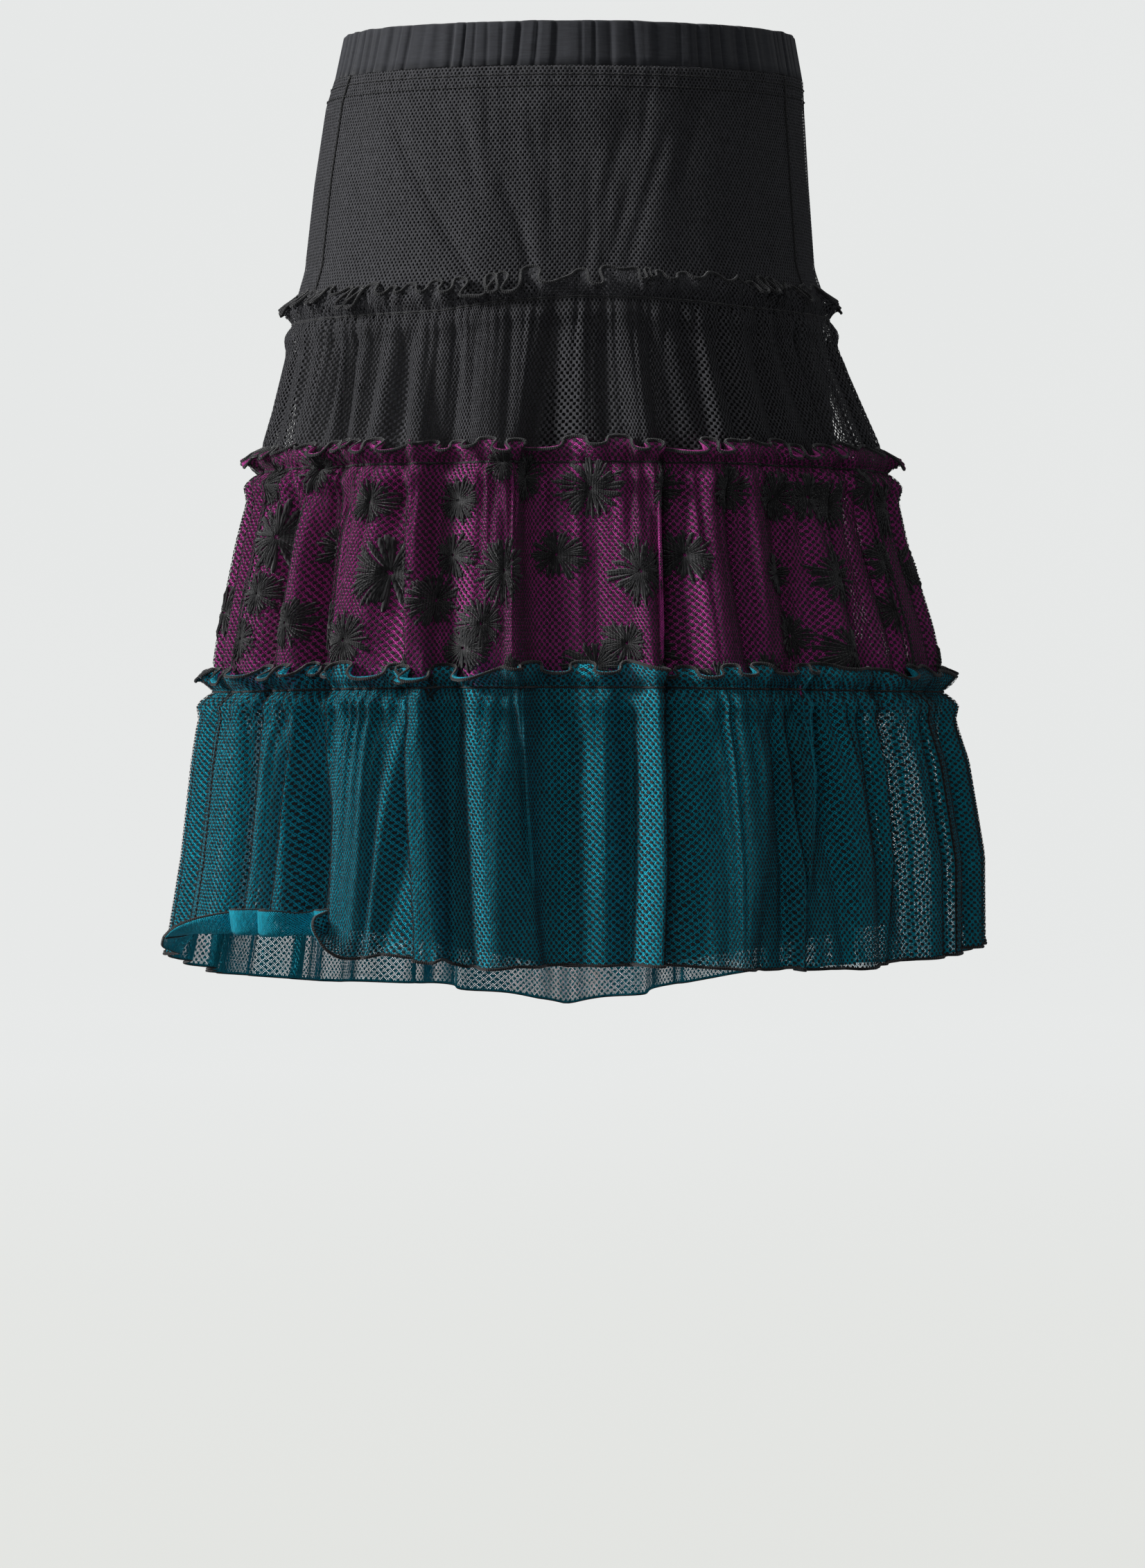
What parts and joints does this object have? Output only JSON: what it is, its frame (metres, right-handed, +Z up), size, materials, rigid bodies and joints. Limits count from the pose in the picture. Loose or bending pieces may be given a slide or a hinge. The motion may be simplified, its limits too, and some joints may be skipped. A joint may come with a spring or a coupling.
{
  "type": "tiered midi skirt",
  "caption": "Knee-length skirt, gathered elastic waistband, smooth net yoke over a lining, then frilled net tiers that flare to a wide hem: black, plum with daisies, teal.",
  "frame": {"origin": "middle of the waistband ring, at half its height", "axes": "+Z up out of the waist, +Y towards the front, -Y the back that the picture shows, +X the right of the picture"},
  "size_m": [0.5215, 0.4508, 0.6306],
  "materials": {
    "slate_cloth": "matte woven cloth",
    "black_net": "matte knitted net",
    "lining_cloth": "soft lining",
    "daisy_net": "embroidered net",
    "plum_net": "fine net",
    "veil_net": "knitted net",
    "teal_net": "fine net"
  },
  "bodies": {
    "root": {"waistband_back": "slate_cloth", "waistband_front": "slate_cloth", "yoke_back": "black_net", "yoke_front": "black_net", "lining_back": "lining_cloth", "lining_front": "lining_cloth", "black_tier_back": "black_net", "black_tier_front": "black_net", "daisy_net_back": "daisy_net", "daisy_net_front": "daisy_net", "plum_net_back": "plum_net", "plum_net_front": "plum_net", "veil_net_back": "veil_net", "veil_net_front": "veil_net", "teal_net_back": "teal_net", "teal_net_front": "teal_net"}
  },
  "joints": []
}
